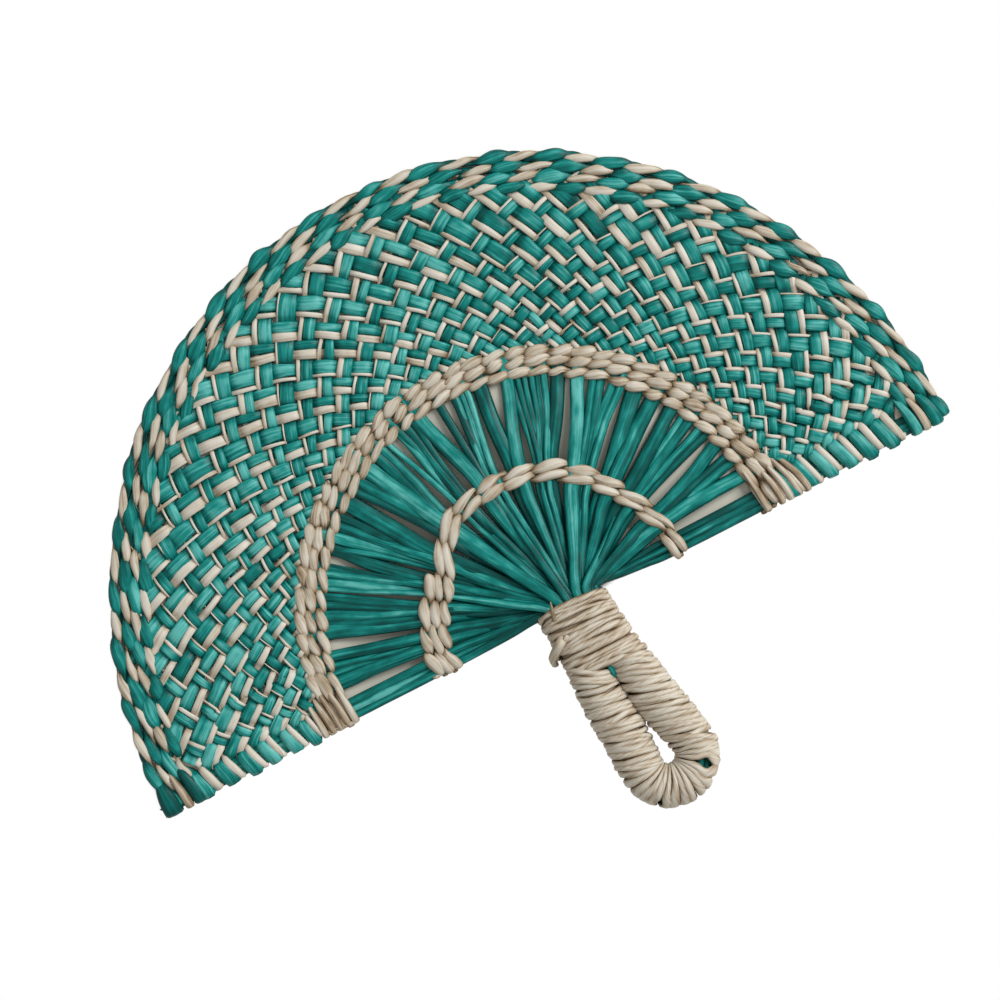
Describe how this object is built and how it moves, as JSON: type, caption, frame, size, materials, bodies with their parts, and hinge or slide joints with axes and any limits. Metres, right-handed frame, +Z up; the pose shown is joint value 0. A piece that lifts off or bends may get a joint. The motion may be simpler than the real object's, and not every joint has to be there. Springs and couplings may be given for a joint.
{
  "type": "woven straw fan",
  "caption": "Half-round hand fan of teal and natural palm straw: rays from a wound loop handle, twined bands, a woven panel and a twined rim.",
  "frame": {"origin": "middle of the bounding box at the table the fan lies on", "axes": "+X along the straight edge, +Y from the handle to the top of the rim, +Z up out of the table"},
  "size_m": [0.3718, 0.2936, 0.018],
  "materials": {
    "teal_straw": "satin dyed palm straw",
    "natural_straw": "satin natural palm straw"
  },
  "bodies": {
    "root": {"handle_core": "teal_straw", "inner_band_row_1_a": "natural_straw", "inner_band_row_1_b": "natural_straw", "inner_band_row_2_a": "natural_straw", "inner_band_row_2_b": "natural_straw", "loop_wrap": "natural_straw", "middle_band_row_1_a": "natural_straw", "middle_band_row_1_b": "natural_straw", "middle_band_row_2_a": "natural_straw", "middle_band_row_2_b": "natural_straw", "middle_band_row_3_a": "natural_straw", "middle_band_row_3_b": "natural_straw", "neck_wrap": "natural_straw", "rib_fold_left": "natural_straw", "rib_fold_right": "teal_straw", "rib_left": "teal_straw", "rib_right": "teal_straw", "rim_row_1": "teal_straw", "rim_row_2": "natural_straw", "rim_row_3": "teal_straw", "rim_row_4": "natural_straw", "spoke_01": "teal_straw", "spoke_02": "teal_straw", "spoke_03": "teal_straw", "spoke_04": "teal_straw", "spoke_05": "teal_straw", "spoke_06": "teal_straw", "spoke_07": "teal_straw", "spoke_08": "teal_straw", "spoke_09": "teal_straw", "spoke_10": "teal_straw", "spoke_11": "teal_straw", "spoke_12": "teal_straw", "spoke_13": "teal_straw", "spoke_14": "teal_straw", "spoke_15": "teal_straw", "spoke_16": "teal_straw", "spoke_17": "teal_straw", "spoke_18": "teal_straw", "spoke_19": "teal_straw", "spoke_20": "teal_straw", "spoke_21": "teal_straw", "spoke_22": "teal_straw", "spoke_23": "teal_straw", "spoke_24": "teal_straw", "spoke_25": "teal_straw", "spoke_26": "teal_straw", "spoke_27": "teal_straw", "spoke_28": "teal_straw", "spoke_29": "teal_straw", "spoke_30": "teal_straw", "spoke_31": "teal_straw", "spoke_32": "teal_straw", "spoke_33": "teal_straw", "spoke_34": "teal_straw", "woven_panel": "teal_straw"}
  },
  "joints": []
}
